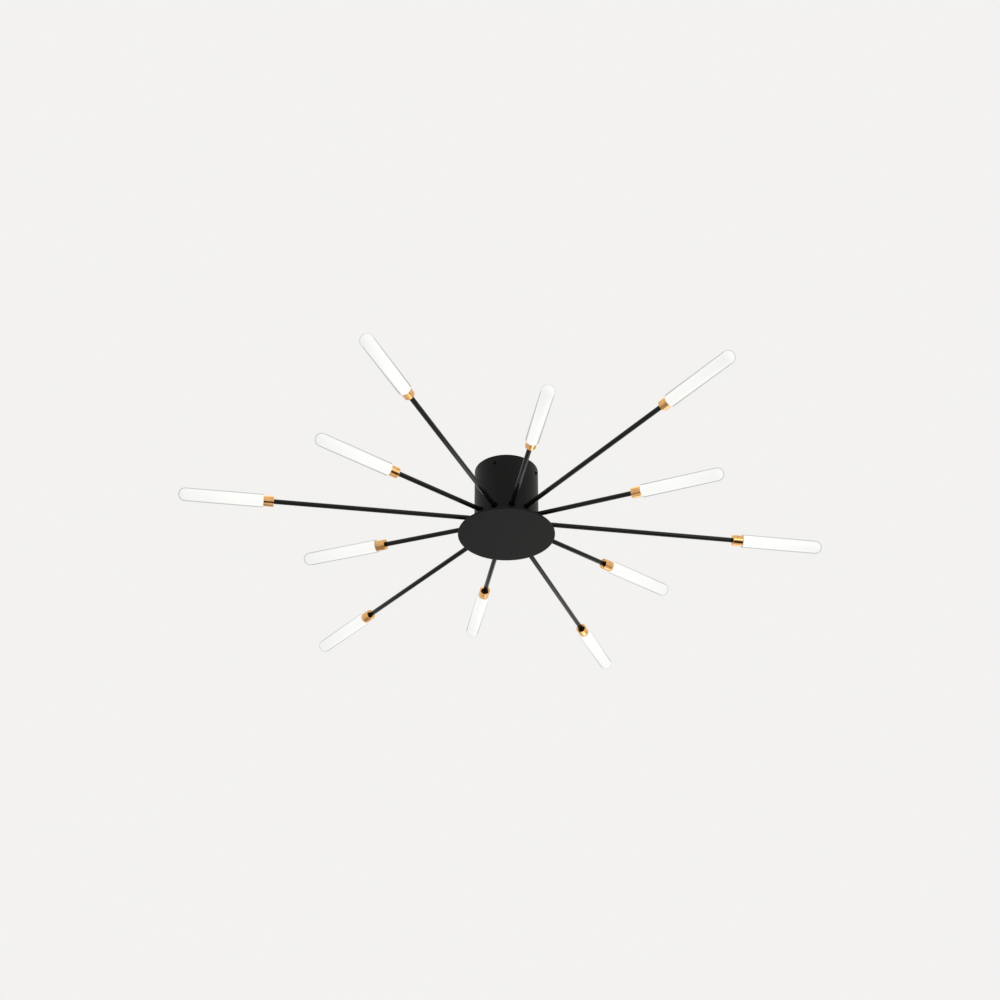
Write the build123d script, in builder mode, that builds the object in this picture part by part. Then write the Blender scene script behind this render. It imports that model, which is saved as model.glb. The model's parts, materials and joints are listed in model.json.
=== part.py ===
"""Flush-mounted starburst ceiling light with twelve glowing rods.

Millimetres, +Z up. The origin is the middle of the ceiling face and everything hangs below it.
+X runs along arm 7, a long one. Arms are numbered 1 to 12 anticlockwise seen from above,
odd ones long and even ones short, and each has its own small swing and lift as hung.
"""
import os
from math import pi

from build123d import *

# Driving dimensions -----------------------------------------------------------------------
# Arms
ARM_COUNT = 12
ARM_PITCH = 360 / ARM_COUNT
ARM_DROP = 97.0            # ceiling to the plane of the arms
LONG_REACH = 540.0         # lamp axis to the tip of a long arm's rod
SHORT_REACH = 376.0
ARM_OD = 8.0
ARM_BORE = 6.0
ARM_INNER_END = 28.0       # lamp axis to the threaded end of an arm
# Small turns of each arm as hung, in degrees: swing anticlockwise from above, lift upwards
ARM_SWING = (0, -1, -1, 1, -0.5, -1.5, -0.5, 2, 0.5, 1, 0.5, -0.5)
ARM_LIFT = (0, 1, -1, -0.5, 2, -0.5, -0.5, 1.5, 0, -1, -1, 1.5)

# Glowing rods and their brass ferrules
DIFFUSER_OD = 22.0
DIFFUSER_WALL = 2.5
DIFFUSER_LENGTH = 138.0
FERRULE_OD = 18.0
FERRULE_LENGTH = 17.0
FERRULE_ROUND = 0.8
FERRULE_DISH = 2.0         # hollow of the hub end round the arm
SPIGOT_LENGTH = 8.0
SPIGOT_GAP = 0.05          # radial running fit of a rod on its ferrule
SPIGOT_LEAD_IN = 0.5
SOCKET_DEPTH = 9.0         # how far an arm screws into its ferrule
SOCKET_FLOOR = 2.0
LEAD_HOLE_RADIUS = 2.5
HOLDER_RADIUS = 6.45
HOLDER_GAP = 0.05

# Light source in each rod
BOARD_WIDTH = 10.0
BOARD_THICKNESS = 1.6
BOARD_TIP_GAP = 8.0
STRIPE_WIDTH = 5.0
STRIPE_THICKNESS = 0.6
STRIPE_END_GAP = 4.0
LED_LEAD_RADIUS = 1.0

# Canopy and bottom disc
CANOPY_OD = 107.0
CANOPY_WALL = 1.2
CANOPY_HEIGHT = 122.0
CANOPY_EDGE_ROUND = 1.0
ARM_HOLE_RADIUS = 5.5
DISC_OD = 161.0
DISC_THICKNESS = 3.0
DISC_EDGE_ROUND = 0.8

# Arm hub inside the canopy
HUB_APOTHEM = 39.0
HUB_BORE_RADIUS = 26.0
HUB_HEIGHT = 16.0
SEAT_DEPTH = 0.5
SEAT_RADIUS = 8.0
LOCKNUT_APOTHEM = 6.5
LOCKNUT_HEIGHT = 4.0

# Ceiling bracket
BRACKET_RADIUS = 49.0
BRACKET_THICKNESS = 2.0
TAB_WIDTH = 14.0
TAB_LENGTH = 22.0
TAB_GAP = 1.0              # clear of the inside of the canopy
SLOT_SPACING = 70.0
SLOT_LENGTH = 20.0
SLOT_WIDTH = 5.0
CABLE_HOLE_RADIUS = 9.0
CABLE_BORE_RADIUS = 5.0
GROMMET_FLANGE_RADIUS = 12.0
GROMMET_FLANGE = 2.0
SIDE_SCREW_DROP = 14.0
SIDE_SCREW_AZIMUTHS = (60, 150, 240, 330)

# Studs that clamp disc, canopy, hub and tray together
STUD_RADIUS = 2.0
STUD_CIRCLE_RADIUS = 33.0
STUD_AZIMUTHS = (45, 135, 225, 315)
STUD_END = 1.5             # bare thread past the nut
SPACER_RADIUS = 4.0
NUT_APOTHEM = 3.5
NUT_HEIGHT = 3.2
NUT_FLANGE_RADIUS = 4.6
NUT_FLANGE = 0.8
TRAY_RADIUS = 46.0
TRAY_THICKNESS = 1.5

# Potted LED driver
DRIVER_LENGTH = 66.0
DRIVER_WIDTH = 32.0
DRIVER_HEIGHT = 24.0
DRIVER_ROUND = 2.0
EAR_LENGTH = 10.0
EAR_WIDTH = 14.0
EAR_THICKNESS = 2.5

# Distribution board in the hub
ROUND_BOARD_RADIUS = 24.0
ROUND_BOARD_THICKNESS = 1.6
ROUND_BOARD_DROP = 3.0     # below the plane of the arms, to its upper face
OUT_TERMINAL = (5.0, 4.4, 6.0)
OUT_TERMINAL_RADIUS = 17.5
IN_TERMINAL = (10.0, 8.0, 6.0)
STANDOFF_CIRCLE_RADIUS = 11.0
STANDOFF_AZIMUTHS = (30, 150, 270)
STANDOFF_APOTHEM = 2.75

# Mains terminal block under the bracket
BLOCK = (30.0, 16.0, 13.0)
BLOCK_Y = -30.0
BLOCK_POLE_PITCH = 10.0
BLOCK_SCREW_OFFSET = 5.0
BLOCK_SCREW_RADIUS = 1.7
BLOCK_SCREW_DEPTH = 3.0

# Screws and leads
M3_RADIUS = 1.45
M3_HEAD_RADIUS = 2.7
M3_HEAD_HEIGHT = 1.7
M4_RADIUS = 1.95
M4_HEAD_RADIUS = 4.0
M4_HEAD_HEIGHT = 2.5
SOCKET_RADIUS = 1.1
SOCKET_RECESS = 1.0
HOLE_GAP = 0.25            # radial room round a fastener in a plain hole
THREAD_GAP = 0.05          # radial room in a tapped hole
EARTH_Y = 41.0
LEAD_RADIUS = 1.2
LEAD_HOLE_Y = -21.5
OUTPUT_LEAD_END_Y = -2.0
OUTPUT_LEAD_BENDS = (4.0, 4.0, 1.8)
MAINS_LEAD_X = -5.0
MAINS_LEAD_DROP = 9.0
MAINS_LEAD_SLACK = 7.0     # how far it stands out from the terminal block
MAINS_LEAD_BENDS = (6.0, 14.0)
EARTH_LEAD_SLACK = (7.0, 2.0)
EARTH_LEAD_DROPS = (20.0, 45.0, 70.0)
EARTH_LEAD_BENDS = (24.0, 36.0, 20.0)

# Heights worked out from them ---------------------------------------------------------------
HUB_CENTRE = Vector(0, 0, -ARM_DROP)
DISC_TOP = -CANOPY_HEIGHT
FLOOR_TOP = DISC_TOP + CANOPY_WALL
HUB_BOTTOM = -ARM_DROP - HUB_HEIGHT / 2
HUB_TOP = HUB_BOTTOM + HUB_HEIGHT
TRAY_TOP = HUB_TOP + TRAY_THICKNESS
NUT_TOP = TRAY_TOP + NUT_HEIGHT
ROUND_BOARD_TOP = -ARM_DROP - ROUND_BOARD_DROP
ROUND_BOARD_BOTTOM = ROUND_BOARD_TOP - ROUND_BOARD_THICKNESS
CANOPY_INNER_RADIUS = CANOPY_OD / 2 - CANOPY_WALL
BLOCK_BOTTOM = -BRACKET_THICKNESS - BLOCK[2]
CUT_EXTRA = 1.0            # how far a cutting shape runs past the wall that it cuts


def reach_of(number):
    """Distance from the lamp's axis to the tip of one arm's rod."""
    return LONG_REACH if number % 2 else SHORT_REACH


def mouth_of(number):
    """Distance from the lamp's axis to the mouth of one arm's rod."""
    return reach_of(number) - DIFFUSER_LENGTH


def ferrule_start(number):
    """Distance from the lamp's axis to the hub end of one arm's ferrule."""
    return mouth_of(number) - FERRULE_LENGTH


def azimuth_of(number):
    """Direction of one arm seen from above, in degrees."""
    return 180 + ARM_PITCH * (number - 1) + ARM_SWING[number - 1]


def side_plane(number):
    """Plane through one arm's axis: X runs outwards along the arm and Y points up."""
    azimuth = azimuth_of(number)
    outward = Vector(1, 0, 0).rotate(Axis.Y, -ARM_LIFT[number - 1]).rotate(Axis.Z, azimuth)
    return Plane(origin=HUB_CENTRE, x_dir=outward, z_dir=Vector(0, -1, 0).rotate(Axis.Z, azimuth))


def cross_plane(number, distance):
    """Plane square to one arm at a distance along it: X points sideways and Z outwards."""
    side = side_plane(number)
    return Plane(origin=HUB_CENTRE + side.x_dir * distance, x_dir=-side.z_dir, z_dir=side.x_dir)


def arm_axis(number):
    """Centre line of one arm."""
    return Axis(HUB_CENTRE, side_plane(number).x_dir)


def radial_plane(azimuth, radius, height):
    """Upright plane that faces away from the lamp's axis."""
    outward = Vector(1, 0, 0).rotate(Axis.Z, azimuth)
    origin = outward * radius + Vector(0, 0, height)
    return Plane(origin=origin, x_dir=Vector(0, 1, 0).rotate(Axis.Z, azimuth), z_dir=outward)


def on_circle(radius, azimuths):
    """Points on a circle round the lamp's axis."""
    return [tuple(Vector(radius, 0, 0).rotate(Axis.Z, azimuth))[:2] for azimuth in azimuths]


def save(part, name):
    """Label one finished piece and write it under its name."""
    part.label = name
    export_step(part, f"parts/{name}.step")


os.makedirs("parts", exist_ok=True)
ARMS = range(1, ARM_COUNT + 1)
STUDS = on_circle(STUD_CIRCLE_RADIUS, STUD_AZIMUTHS)
STANDOFFS = on_circle(STANDOFF_CIRCLE_RADIUS, STANDOFF_AZIMUTHS)
EAR_HOLE_X = DRIVER_LENGTH / 2 + EAR_LENGTH / 2
EARS = [(-EAR_HOLE_X, 0), (EAR_HOLE_X, 0)]

# Ceiling bracket: a round plate with two ceiling slots and four tapped tabs ----------------------
with BuildPart() as ceiling_bracket:
    with BuildSketch(Plane.XY.offset(-BRACKET_THICKNESS)):
        Circle(BRACKET_RADIUS)
    extrude(amount=BRACKET_THICKNESS)
    tab_outer = CANOPY_INNER_RADIUS - TAB_GAP
    for azimuth in SIDE_SCREW_AZIMUTHS:
        tongue = BRACKET_RADIUS - TAB_WIDTH / 2
        with BuildSketch(radial_plane(azimuth, tongue, -BRACKET_THICKNESS / 2)):
            Rectangle(TAB_WIDTH, BRACKET_THICKNESS)
        extrude(amount=tab_outer - tongue)
        with BuildSketch(radial_plane(azimuth, tab_outer - BRACKET_THICKNESS, -TAB_LENGTH / 2)):
            RectangleRounded(TAB_WIDTH, TAB_LENGTH, BRACKET_THICKNESS / 2)
        extrude(amount=BRACKET_THICKNESS)
        with BuildSketch(radial_plane(azimuth, BRACKET_RADIUS - CUT_EXTRA, -SIDE_SCREW_DROP)):
            Circle(M3_RADIUS + THREAD_GAP)
        extrude(amount=2 * BRACKET_THICKNESS, mode=Mode.SUBTRACT)
    with BuildSketch(Plane.XY):
        with Locations((-SLOT_SPACING / 2, 0), (SLOT_SPACING / 2, 0)):
            SlotOverall(SLOT_LENGTH, SLOT_WIDTH)
        Circle(CABLE_HOLE_RADIUS + THREAD_GAP)
        with Locations((0, EARTH_Y)):
            Circle(M4_RADIUS + THREAD_GAP)
        with Locations((0, BLOCK_Y)):
            Circle(M3_RADIUS + THREAD_GAP)
    extrude(amount=-BRACKET_THICKNESS, mode=Mode.SUBTRACT)
save(ceiling_bracket.part, "ceiling_bracket")

# Rubber bush in the bracket's cable hole
with BuildPart() as cable_grommet:
    with BuildSketch(Plane.XY.offset(-BRACKET_THICKNESS)):
        Circle(CABLE_HOLE_RADIUS)
    extrude(amount=BRACKET_THICKNESS)
    with BuildSketch(Plane.XY.offset(-BRACKET_THICKNESS)):
        Circle(GROMMET_FLANGE_RADIUS)
    extrude(amount=-GROMMET_FLANGE)
    with BuildSketch(Plane.XY):
        Circle(CABLE_BORE_RADIUS)
    extrude(amount=-BRACKET_THICKNESS - GROMMET_FLANGE, mode=Mode.SUBTRACT)
save(cable_grommet.part, "cable_grommet")

# Three-pole mains terminal block, with its screw wells open downwards
POLES = [(pole * BLOCK_POLE_PITCH, BLOCK_Y + side * BLOCK_SCREW_OFFSET)
         for pole in (-1, 0, 1) for side in (-1, 1)]
with BuildPart() as terminal_block:
    with BuildSketch(Plane.XY.offset(-BRACKET_THICKNESS)):
        with Locations((0, BLOCK_Y)):
            RectangleRounded(BLOCK[0], BLOCK[1], DRIVER_ROUND)
    extrude(amount=-BLOCK[2])
    with BuildSketch(Plane.XY.offset(BLOCK_BOTTOM)):
        with Locations(POLES):
            Circle(BLOCK_SCREW_RADIUS + THREAD_GAP)
    extrude(amount=BLOCK_SCREW_DEPTH, mode=Mode.SUBTRACT)
    with BuildSketch(Plane.XY.offset(BLOCK_BOTTOM)):
        with Locations((0, BLOCK_Y)):
            Circle(M3_RADIUS + HOLE_GAP)
    extrude(amount=BLOCK[2], mode=Mode.SUBTRACT)
save(terminal_block.part, "terminal_block")

# Clamp screws of the terminal block and the long screw that holds it
with BuildPart() as terminal_screws:
    with BuildSketch(Plane.XY.offset(BLOCK_BOTTOM + BLOCK_SCREW_DEPTH)):
        with Locations(POLES):
            Circle(BLOCK_SCREW_RADIUS)
    extrude(amount=-BLOCK_SCREW_DEPTH / 2)
    with BuildSketch(Plane.XY.offset(BLOCK_BOTTOM)):
        with Locations((0, BLOCK_Y)):
            Circle(M3_HEAD_RADIUS)
    extrude(amount=-M3_HEAD_HEIGHT)
    with BuildSketch(Plane.XY.offset(BLOCK_BOTTOM)):
        with Locations((0, BLOCK_Y)):
            Circle(M3_RADIUS)
    extrude(amount=BLOCK[2] + BRACKET_THICKNESS)
save(terminal_screws.part, "terminal_screws")

# Earth screws on the bracket and on the tray
with BuildPart() as earth_screws:
    for seat, way, grip in ((-BRACKET_THICKNESS, -1, BRACKET_THICKNESS), (TRAY_TOP, 1, TRAY_THICKNESS)):
        with BuildSketch(Plane.XY.offset(seat)):
            with Locations((0, EARTH_Y)):
                Circle(M4_HEAD_RADIUS)
        extrude(amount=way * M4_HEAD_HEIGHT)
        with BuildSketch(Plane.XY.offset(seat)):
            with Locations((0, EARTH_Y)):
                Circle(M4_RADIUS)
        extrude(amount=-way * grip)
save(earth_screws.part, "earth_screws")

# Canopy: a deep steel cup, open at the ceiling, with a hole for each arm low in its wall ---------
with BuildPart() as canopy:
    with BuildSketch(Plane.XY.offset(DISC_TOP)):
        Circle(CANOPY_OD / 2)
    extrude(amount=CANOPY_HEIGHT)
    fillet(canopy.edges().group_by(Axis.Z)[0], CANOPY_EDGE_ROUND)
    with BuildSketch(Plane.XY.offset(FLOOR_TOP)):
        Circle(CANOPY_INNER_RADIUS)
    extrude(amount=CANOPY_HEIGHT - CANOPY_WALL, mode=Mode.SUBTRACT)
    for number in ARMS:
        with BuildSketch(cross_plane(number, CANOPY_INNER_RADIUS - 2 * CUT_EXTRA)):
            Circle(ARM_HOLE_RADIUS)
        extrude(amount=CANOPY_WALL + 4 * CUT_EXTRA, mode=Mode.SUBTRACT)
    for azimuth in SIDE_SCREW_AZIMUTHS:
        with BuildSketch(radial_plane(azimuth, CANOPY_INNER_RADIUS - CUT_EXTRA, -SIDE_SCREW_DROP)):
            Circle(M3_RADIUS + HOLE_GAP)
        extrude(amount=CANOPY_WALL + 2 * CUT_EXTRA, mode=Mode.SUBTRACT)
    with BuildSketch(Plane.XY.offset(DISC_TOP)):
        with Locations(STUDS):
            Circle(STUD_RADIUS + HOLE_GAP)
    extrude(amount=CANOPY_WALL, mode=Mode.SUBTRACT)
save(canopy.part, "canopy")

# Side screws through the canopy into the bracket's tabs
with BuildPart() as canopy_screws:
    for azimuth in SIDE_SCREW_AZIMUTHS:
        with BuildSketch(radial_plane(azimuth, CANOPY_OD / 2, -SIDE_SCREW_DROP)):
            Circle(M3_HEAD_RADIUS)
        extrude(amount=M3_HEAD_HEIGHT)
        with BuildSketch(radial_plane(azimuth, CANOPY_OD / 2, -SIDE_SCREW_DROP)):
            Circle(M3_RADIUS)
        extrude(amount=-CANOPY_WALL - TAB_GAP - BRACKET_THICKNESS - CUT_EXTRA)
        with BuildSketch(radial_plane(azimuth, CANOPY_OD / 2 + M3_HEAD_HEIGHT, -SIDE_SCREW_DROP)):
            RegularPolygon(SOCKET_RADIUS, 6)
        extrude(amount=-SOCKET_RECESS, mode=Mode.SUBTRACT)
save(canopy_screws.part, "canopy_screws")

# Bottom disc and the studs welded to its upper face ----------------------------------------------
with BuildPart() as disc_cover:
    with BuildSketch(Plane.XY.offset(DISC_TOP - DISC_THICKNESS)):
        Circle(DISC_OD / 2)
    extrude(amount=DISC_THICKNESS)
    fillet(disc_cover.edges(), DISC_EDGE_ROUND)
save(disc_cover.part, "disc_cover")

with BuildPart() as disc_studs:
    with BuildSketch(Plane.XY.offset(DISC_TOP)):
        with Locations(STUDS):
            Circle(STUD_RADIUS)
    extrude(amount=NUT_TOP + STUD_END - DISC_TOP)
save(disc_studs.part, "disc_studs")

with BuildPart() as hub_spacers:
    with BuildSketch(Plane.XY.offset(FLOOR_TOP)):
        with Locations(STUDS):
            Circle(SPACER_RADIUS)
            Circle(STUD_RADIUS + HOLE_GAP, mode=Mode.SUBTRACT)
    extrude(amount=HUB_BOTTOM - FLOOR_TOP)
save(hub_spacers.part, "hub_spacers")

# Hub: a twelve-sided ring, tapped through each flat, with a seat for each locknut ---------------
with BuildPart() as arm_hub:
    with BuildSketch(Plane.XY.offset(HUB_BOTTOM)):
        RegularPolygon(HUB_APOTHEM, ARM_COUNT, major_radius=False, rotation=ARM_PITCH / 2)
        Circle(HUB_BORE_RADIUS, mode=Mode.SUBTRACT)
        with Locations(STUDS):
            Circle(STUD_RADIUS + HOLE_GAP, mode=Mode.SUBTRACT)
    extrude(amount=HUB_HEIGHT)
    for number in ARMS:
        with BuildSketch(cross_plane(number, HUB_BORE_RADIUS - 2 * CUT_EXTRA)):
            Circle(ARM_OD / 2 + THREAD_GAP)
        extrude(amount=HUB_APOTHEM - HUB_BORE_RADIUS + 4 * CUT_EXTRA, mode=Mode.SUBTRACT)
        with BuildSketch(cross_plane(number, HUB_APOTHEM - SEAT_DEPTH)):
            Circle(SEAT_RADIUS)
        extrude(amount=2 * CUT_EXTRA, mode=Mode.SUBTRACT)
save(arm_hub.part, "arm_hub")

with BuildPart() as arm_locknuts:
    for number in ARMS:
        with BuildSketch(cross_plane(number, HUB_APOTHEM - SEAT_DEPTH)):
            RegularPolygon(LOCKNUT_APOTHEM, 6, major_radius=False)
            Circle(ARM_OD / 2 + THREAD_GAP, mode=Mode.SUBTRACT)
        extrude(amount=LOCKNUT_HEIGHT)
save(arm_locknuts.part, "arm_locknuts")

# Tray on the hub, its flanged nuts, and the driver that it carries -------------------------------
with BuildPart() as driver_tray:
    with BuildSketch(Plane.XY.offset(HUB_TOP)):
        Circle(TRAY_RADIUS)
        with Locations(STUDS):
            Circle(STUD_RADIUS + HOLE_GAP, mode=Mode.SUBTRACT)
        with Locations(EARS):
            Circle(M3_RADIUS + THREAD_GAP, mode=Mode.SUBTRACT)
        with Locations((0, EARTH_Y)):
            Circle(M4_RADIUS + THREAD_GAP, mode=Mode.SUBTRACT)
        with Locations((0, LEAD_HOLE_Y)):
            Circle(2 * LEAD_RADIUS, mode=Mode.SUBTRACT)
    extrude(amount=TRAY_THICKNESS)
save(driver_tray.part, "driver_tray")

with BuildPart() as stud_nuts:
    with BuildSketch(Plane.XY.offset(TRAY_TOP)):
        with Locations(STUDS):
            RegularPolygon(NUT_APOTHEM, 6, major_radius=False)
    extrude(amount=NUT_HEIGHT)
    with BuildSketch(Plane.XY.offset(TRAY_TOP)):
        with Locations(STUDS):
            Circle(NUT_FLANGE_RADIUS)
    extrude(amount=NUT_FLANGE)
    with BuildSketch(Plane.XY.offset(TRAY_TOP)):
        with Locations(STUDS):
            Circle(STUD_RADIUS + THREAD_GAP)
    extrude(amount=NUT_HEIGHT, mode=Mode.SUBTRACT)
save(stud_nuts.part, "stud_nuts")

with BuildPart() as led_driver:
    with BuildSketch(Plane.XY.offset(TRAY_TOP)):
        RectangleRounded(DRIVER_LENGTH, DRIVER_WIDTH, DRIVER_ROUND)
    extrude(amount=DRIVER_HEIGHT)
    fillet(led_driver.edges().group_by(Axis.Z)[-1], DRIVER_ROUND / 2)
    with BuildSketch(Plane.XY.offset(TRAY_TOP)):
        Rectangle(DRIVER_LENGTH + 2 * EAR_LENGTH, EAR_WIDTH)
        with Locations(EARS):
            Circle(M3_RADIUS + HOLE_GAP, mode=Mode.SUBTRACT)
    extrude(amount=EAR_THICKNESS)
save(led_driver.part, "led_driver")

# Distribution board on three standoffs in the middle of the hub ----------------------------------
with BuildPart() as distribution_board:
    with BuildSketch(Plane.XY.offset(ROUND_BOARD_BOTTOM)):
        Circle(ROUND_BOARD_RADIUS)
        with Locations(STANDOFFS):
            Circle(M3_RADIUS + HOLE_GAP, mode=Mode.SUBTRACT)
    extrude(amount=ROUND_BOARD_THICKNESS)
save(distribution_board.part, "distribution_board")

with BuildPart() as board_terminals:
    with BuildSketch(Plane.XY.offset(ROUND_BOARD_TOP)):
        Rectangle(IN_TERMINAL[0], IN_TERMINAL[1])
    extrude(amount=IN_TERMINAL[2])
    for number in ARMS:
        with BuildSketch(Plane.XY.offset(ROUND_BOARD_TOP).rotated((0, 0, azimuth_of(number)))):
            with Locations((OUT_TERMINAL_RADIUS, 0)):
                Rectangle(OUT_TERMINAL[0], OUT_TERMINAL[1])
        extrude(amount=OUT_TERMINAL[2])
        with BuildSketch(cross_plane(number, OUT_TERMINAL_RADIUS)):
            Circle(LED_LEAD_RADIUS + HOLE_GAP)
        extrude(amount=OUT_TERMINAL[0], mode=Mode.SUBTRACT)
save(board_terminals.part, "board_terminals")

with BuildPart() as board_standoffs:
    with BuildSketch(Plane.XY.offset(FLOOR_TOP)):
        with Locations(STANDOFFS):
            RegularPolygon(STANDOFF_APOTHEM, 6, major_radius=False)
            Circle(M3_RADIUS + THREAD_GAP, mode=Mode.SUBTRACT)
    extrude(amount=ROUND_BOARD_BOTTOM - FLOOR_TOP)
save(board_standoffs.part, "board_standoffs")

# Small screws: two in the driver's ears, three in the distribution board
with BuildPart() as m3_screws:
    for places, seat, grip in ((EARS, TRAY_TOP + EAR_THICKNESS, EAR_THICKNESS + TRAY_THICKNESS),
                               (STANDOFFS, ROUND_BOARD_TOP, 4 * ROUND_BOARD_THICKNESS)):
        with BuildSketch(Plane.XY.offset(seat)):
            with Locations(places):
                Circle(M3_HEAD_RADIUS)
        extrude(amount=M3_HEAD_HEIGHT)
        with BuildSketch(Plane.XY.offset(seat)):
            with Locations(places):
                Circle(M3_RADIUS)
        extrude(amount=-grip)
save(m3_screws.part, "m3_screws")

# Leads inside the canopy: driver to distribution board, terminal block to driver, and earth ------
LEAD_Y = BLOCK_Y - BLOCK[1] / 2
OUTPUT_Z = TRAY_TOP + DRIVER_HEIGHT / 4
INPUT_Z = TRAY_TOP + DRIVER_HEIGHT / 2
CROSSING_Z = HUB_TOP - 2 * LEAD_RADIUS
IN_TERMINAL_TOP = ROUND_BOARD_TOP + IN_TERMINAL[2]
LEAD_ROUTES = (
    ([(0, -DRIVER_WIDTH / 2, OUTPUT_Z), (0, LEAD_HOLE_Y, OUTPUT_Z), (0, LEAD_HOLE_Y, CROSSING_Z),
      (0, OUTPUT_LEAD_END_Y, CROSSING_Z), (0, OUTPUT_LEAD_END_Y, IN_TERMINAL_TOP)], OUTPUT_LEAD_BENDS),
    ([(MAINS_LEAD_X, LEAD_Y, -MAINS_LEAD_DROP), (MAINS_LEAD_X, LEAD_Y - MAINS_LEAD_SLACK, -MAINS_LEAD_DROP),
      (MAINS_LEAD_X, LEAD_Y - MAINS_LEAD_SLACK, INPUT_Z), (MAINS_LEAD_X, -DRIVER_WIDTH / 2, INPUT_Z)],
     MAINS_LEAD_BENDS),
    ([(0, EARTH_Y, -BRACKET_THICKNESS - M4_HEAD_HEIGHT), (0, EARTH_Y, -EARTH_LEAD_DROPS[0]),
      (EARTH_LEAD_SLACK[0], EARTH_Y + EARTH_LEAD_SLACK[1], -EARTH_LEAD_DROPS[1]),
      (0, EARTH_Y, -EARTH_LEAD_DROPS[2]), (0, EARTH_Y, TRAY_TOP + M4_HEAD_HEIGHT)], EARTH_LEAD_BENDS),
)
lead_volume = 0
with BuildPart() as inner_leads:
    for points, radii in LEAD_ROUTES:
        with BuildLine() as route:
            FilletPolyline(*points, radius=radii)
        start = Plane(origin=points[0], z_dir=Vector(*points[1]) - Vector(*points[0]))
        with BuildSketch(start):
            Circle(LEAD_RADIUS)
        sweep(path=route.wires()[0])
        lead_volume += route.wires()[0].length * pi * LEAD_RADIUS**2
save(inner_leads.part, "inner_leads")
print("inner leads:", round(inner_leads.part.volume), "mm3, section times length:", round(lead_volume))

# Arms ------------------------------------------------------------------------------------------
for number in ARMS:
    with BuildPart() as arm:
        with BuildSketch(cross_plane(number, ARM_INNER_END)):
            Circle(ARM_OD / 2)
            Circle(ARM_BORE / 2, mode=Mode.SUBTRACT)
        extrude(amount=ferrule_start(number) + SOCKET_DEPTH - ARM_INNER_END)
    save(arm.part, f"arm_{number:02d}")

# Ferrules: a brass collar, dished at the hub end, with a socket for the arm and a spigot for the rod
SPIGOT_RADIUS = DIFFUSER_OD / 2 - DIFFUSER_WALL - SPIGOT_GAP
for number in ARMS:
    start = ferrule_start(number)
    shoulder = mouth_of(number)
    spigot_end = shoulder + SPIGOT_LENGTH
    socket_end = start + SOCKET_DEPTH
    cavity = socket_end + SOCKET_FLOOR
    with BuildPart() as ferrule:
        with BuildSketch(side_plane(number)):
            with BuildLine():
                Polyline((start + FERRULE_ROUND, FERRULE_OD / 2), (shoulder, FERRULE_OD / 2),
                         (shoulder, SPIGOT_RADIUS), (spigot_end - SPIGOT_LEAD_IN, SPIGOT_RADIUS),
                         (spigot_end, SPIGOT_RADIUS - SPIGOT_LEAD_IN), (spigot_end, HOLDER_RADIUS + HOLDER_GAP),
                         (cavity, HOLDER_RADIUS + HOLDER_GAP), (cavity, LEAD_HOLE_RADIUS),
                         (socket_end, LEAD_HOLE_RADIUS), (socket_end, ARM_OD / 2 + THREAD_GAP),
                         (start + FERRULE_DISH, ARM_OD / 2 + THREAD_GAP),
                         (start, FERRULE_OD / 2 - FERRULE_ROUND))
                RadiusArc((start, FERRULE_OD / 2 - FERRULE_ROUND), (start + FERRULE_ROUND, FERRULE_OD / 2),
                          FERRULE_ROUND)
            make_face()
        revolve(axis=arm_axis(number))
    save(ferrule.part, f"ferrule_{number:02d}")

# Rods: hollow frosted tubes with a domed tip
for number in ARMS:
    outer = DIFFUSER_OD / 2
    inner = outer - DIFFUSER_WALL
    dome = reach_of(number) - outer
    with BuildPart() as diffuser:
        with BuildSketch(side_plane(number)):
            with BuildLine():
                Polyline((dome, inner), (mouth_of(number), inner), (mouth_of(number), outer), (dome, outer))
                CenterArc((dome, 0), outer, 0, 90)
                Line((dome + outer, 0), (dome + inner, 0))
                CenterArc((dome, 0), inner, 0, 90)
            make_face()
        revolve(axis=arm_axis(number))
    save(diffuser.part, f"diffuser_{number:02d}")

# Light sources: a board with a glowing stripe on each face, its holder, and its lead -------------
with BuildPart() as led_boards:
    for number in ARMS:
        tail = ferrule_start(number) + SOCKET_DEPTH + SOCKET_FLOOR + CUT_EXTRA
        with BuildSketch(cross_plane(number, tail)):
            Rectangle(BOARD_WIDTH, BOARD_THICKNESS)
        extrude(amount=reach_of(number) - BOARD_TIP_GAP - tail)
save(led_boards.part, "led_boards")

with BuildPart() as led_stripes:
    for number in ARMS:
        stripe_start = mouth_of(number) + SPIGOT_LENGTH + STRIPE_END_GAP
        stripe_end = reach_of(number) - BOARD_TIP_GAP - STRIPE_END_GAP
        stripe_height = (BOARD_THICKNESS + STRIPE_THICKNESS) / 2
        with BuildSketch(cross_plane(number, stripe_start)):
            with Locations((0, stripe_height), (0, -stripe_height)):
                Rectangle(STRIPE_WIDTH, STRIPE_THICKNESS)
        extrude(amount=stripe_end - stripe_start)
save(led_stripes.part, "led_stripes")

with BuildPart() as board_holders:
    for number in ARMS:
        tail = ferrule_start(number) + SOCKET_DEPTH + SOCKET_FLOOR + CUT_EXTRA
        with BuildSketch(cross_plane(number, tail + HOLDER_GAP)):
            Circle(HOLDER_RADIUS)
            Rectangle(BOARD_WIDTH + 2 * HOLDER_GAP, BOARD_THICKNESS + 2 * HOLDER_GAP, mode=Mode.SUBTRACT)
        extrude(amount=mouth_of(number) + SPIGOT_LENGTH - CUT_EXTRA / 2 - tail)
save(board_holders.part, "board_holders")

with BuildPart() as led_leads:
    for number in ARMS:
        tail = ferrule_start(number) + SOCKET_DEPTH + SOCKET_FLOOR + CUT_EXTRA
        with BuildSketch(cross_plane(number, OUT_TERMINAL_RADIUS)):
            Circle(LED_LEAD_RADIUS)
        extrude(amount=tail - OUT_TERMINAL_RADIUS)
save(led_leads.part, "led_leads")
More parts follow.
